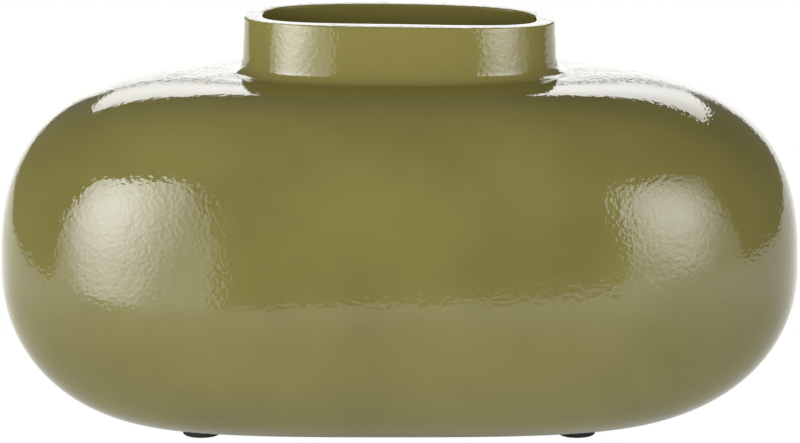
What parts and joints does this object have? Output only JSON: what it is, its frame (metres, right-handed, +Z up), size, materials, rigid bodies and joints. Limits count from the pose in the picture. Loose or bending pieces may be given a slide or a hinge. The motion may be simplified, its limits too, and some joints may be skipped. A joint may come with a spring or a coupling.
{
  "type": "vase",
  "caption": "Low, wide pill-shaped flower vase in glossy glazed stoneware with a raised oval neck, standing on small round rubber pads.",
  "frame": {"origin": "on the table under the middle of the vase, level with the undersides of the pads", "axes": "+X along the vase's long way to its right, +Y to its back, +Z up; the front faces -Y"},
  "size_m": [0.38, 0.165, 0.1995],
  "materials": {
    "glazed_stoneware": "high-gloss olive green glaze with a fine orange-peel surface",
    "pad_rubber": "matte black",
    "pad_adhesive": "milky acrylic adhesive film"
  },
  "bodies": {
    "root": {"vessel_body": "glazed_stoneware", "neck_collar": "glazed_stoneware", "foot_pad_front_left": "pad_rubber", "foot_pad_front_right": "pad_rubber", "foot_pad_back_left": "pad_rubber", "foot_pad_back_right": "pad_rubber", "pad_adhesive_front_left": "pad_adhesive", "pad_adhesive_front_right": "pad_adhesive", "pad_adhesive_back_left": "pad_adhesive", "pad_adhesive_back_right": "pad_adhesive"}
  },
  "joints": []
}
